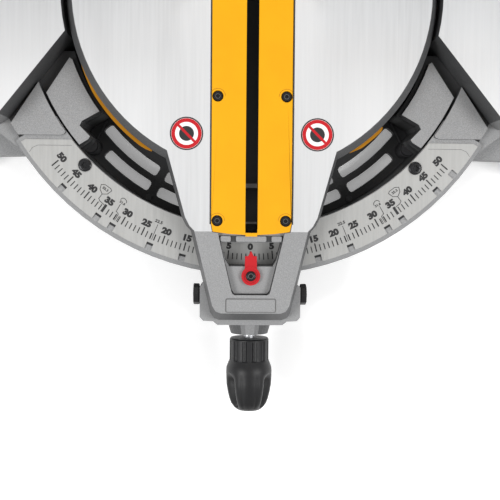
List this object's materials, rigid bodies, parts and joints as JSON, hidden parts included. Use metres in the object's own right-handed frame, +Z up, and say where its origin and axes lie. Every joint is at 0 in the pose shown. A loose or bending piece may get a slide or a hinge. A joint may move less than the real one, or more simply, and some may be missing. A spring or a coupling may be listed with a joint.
{
  "type": "sliding miter saw",
  "caption": "Sliding compound miter saw with scaled turntable, kerf plates, twist-lock knob, sliding fences, rails and belt-driven head.",
  "frame": {"origin": "miter pivot axis at the bench plane, on the underside of the base hub", "axes": "+Z up, +Y to the rear along the rails, +X to the right of the operator, motor side"},
  "size_m": [0.62, 0.9764, 0.5904],
  "materials": {
    "cast_paint": "die-cast aluminium with fine textured silver-grey paint",
    "machined": "machined",
    "scale_steel": "brushed",
    "kerf_yellow": "matte",
    "pointer_red": "satin",
    "black_plastic": "textured",
    "black_rubber": "matte",
    "steel": "ground",
    "black_screw": "black oxide",
    "housing_yellow": "satin",
    "guard_clear": "satin",
    "copper": "wound copper and laminated steel"
  },
  "bodies": {
    "base": {"base_casting": "cast_paint", "miter_scale_plate": "scale_steel", "foot_front_left": "black_rubber", "foot_front_right": "black_rubber", "foot_rear_left": "black_rubber", "foot_rear_right": "black_rubber", "pivot_pin": "steel", "fixed_fence_left": "machined", "fixed_fence_right": "machined"},
    "fence_left": {"sliding_fence_left": "machined"},
    "fence_right": {"sliding_fence_right": "machined"},
    "knob_left": {"fence_knob_left": "black_plastic"},
    "knob_right": {"fence_knob_right": "black_plastic"},
    "table": {"turntable": "cast_paint", "kerf_plate_left": "kerf_yellow", "kerf_plate_right": "kerf_yellow", "kerf_screw_left_front": "black_screw", "kerf_screw_left_rear": "black_screw", "kerf_screw_right_front": "black_screw", "kerf_screw_right_rear": "black_screw", "miter_pointer": "pointer_red", "bevel_support": "cast_paint"},
    "lock_knob": {"miter_lock_knob": "black_rubber", "miter_lock_rod": "steel"},
    "shoe": {"brake_shoe": "steel"},
    "latch": {"miter_latch": "black_plastic", "latch_cap_left": "black_plastic", "latch_cap_right": "black_plastic"},
    "bevel": {"bevel_housing": "cast_paint", "rail_bearing_left": "steel", "rail_bearing_right": "steel", "bevel_pivot_bolt": "steel"},
    "lever": {"bevel_lock_lever": "black_plastic"},
    "slide_knob": {"slide_lock_knob": "black_plastic"},
    "carriage": {"rail_left": "steel", "rail_right": "steel", "rail_end_cap": "black_plastic", "head_carriage": "cast_paint", "head_pivot_pin": "steel"},
    "lock_pin": {"lock_down_pin": "steel"},
    "head": {"saw_arm": "cast_paint", "upper_guard": "housing_yellow", "belt_cover": "black_plastic", "motor_housing": "housing_yellow", "motor_end_cap": "black_plastic", "stator": "copper", "cord_gland": "black_rubber", "handle": "black_plastic", "dust_port": "black_plastic"},
    "trigger": {"trigger": "pointer_red"},
    "button": {"spindle_lock_button": "black_plastic"},
    "arbor": {"arbor": "steel", "blade": "steel", "outer_flange": "steel", "arbor_bolt": "black_screw"},
    "armature": {"armature": "copper"},
    "guard": {"lower_guard": "guard_clear"}
  },
  "joints": [
    {"name": "miter_turn", "type": "hinge", "parent": "base", "child": "table", "pos_m": [0, 0, 0.096], "axis": [0, 0, 1], "range_deg": [-50, 50]},
    {"name": "fence_left_slide", "type": "slide", "parent": "base", "child": "fence_left", "axis": [-1, 0, 0], "range_m": [0, 0.06]},
    {"name": "fence_right_slide", "type": "slide", "parent": "base", "child": "fence_right", "axis": [1, 0, 0], "range_m": [0, 0.06]},
    {"name": "fence_left_knob", "type": "hinge", "parent": "base", "child": "knob_left", "pos_m": [-0.205, 0.038, 0.116], "axis": [0, 1, 0], "range_deg": [0, 180]},
    {"name": "fence_right_knob", "type": "hinge", "parent": "base", "child": "knob_right", "pos_m": [0.205, 0.038, 0.116], "axis": [0, 1, 0], "range_deg": [0, 180]},
    {"name": "miter_lock_turn", "type": "hinge", "parent": "table", "child": "lock_knob", "pos_m": [0, -0.335, 0.055], "axis": [0, 1, 0], "range_deg": [0, 120]},
    {"name": "brake_shoe_slide", "type": "slide", "parent": "table", "child": "shoe", "axis": [0, 1, 0], "range_m": [0, 0.0018]},
    {"name": "latch_press", "type": "hinge", "parent": "table", "child": "latch", "pos_m": [0, -0.263, 0.066], "axis": [-1, 0, 0], "range_deg": [0, 4]},
    {"name": "bevel_tilt", "type": "hinge", "parent": "table", "child": "bevel", "pos_m": [0, 0.312, 0.096], "axis": [0, -1, 0], "range_deg": [0, 45]},
    {"name": "bevel_lever_turn", "type": "hinge", "parent": "bevel", "child": "lever", "pos_m": [0, 0.358, 0.096], "axis": [0, 1, 0], "range_deg": [0, 50]},
    {"name": "slide_lock_turn", "type": "hinge", "parent": "bevel", "child": "slide_knob", "pos_m": [0.078, 0.329, 0.262], "axis": [1, 0, 0], "range_deg": [0, 180]},
    {"name": "head_slide", "type": "slide", "parent": "bevel", "child": "carriage", "axis": [0, -1, 0], "range_m": [0, 0.228]},
    {"name": "lock_pin_push", "type": "slide", "parent": "carriage", "child": "lock_pin", "axis": [1, 0, 0], "range_m": [0, 0.0095]},
    {"name": "chop", "type": "hinge", "parent": "carriage", "child": "head", "pos_m": [0, 0.282, 0.305], "axis": [1, 0, 0], "range_deg": [0, 40], "stiffness_Nm_per_rad": 60, "springref_deg": -34.38},
    {"name": "trigger_pull", "type": "slide", "parent": "head", "child": "trigger", "axis": [0, -0.766, 0.6428], "range_m": [0, 0.005], "stiffness_N_per_m": 300, "springref_m": -0.003},
    {"name": "spindle_button_press", "type": "slide", "parent": "head", "child": "button", "axis": [-1, 0, 0], "range_m": [0, 0.004], "stiffness_N_per_m": 300, "springref_m": -0.003},
    {"name": "arbor_spin", "type": "hinge", "parent": "head", "child": "arbor", "pos_m": [0, 0.05997, 0.37643], "axis": [1, 0, 0], "continuous": true},
    {"name": "armature_spin", "type": "hinge", "parent": "head", "child": "armature", "pos_m": [0, 0.14969, 0.40557], "axis": [1, 0, 0], "continuous": true},
    {"name": "lower_guard_turn", "type": "hinge", "parent": "head", "child": "guard", "pos_m": [0, 0.05997, 0.37643], "axis": [1, 0, 0], "range_deg": [-115, 0]}
  ],
  "couplings": [
    {"joint": "brake_shoe_slide", "follows": "miter_lock_turn", "m_per_rad": 0.00085},
    {"joint": "lower_guard_turn", "follows": "chop", "ratio": -2.8},
    {"joint": "armature_spin", "follows": "arbor_spin", "ratio": 2}
  ]
}
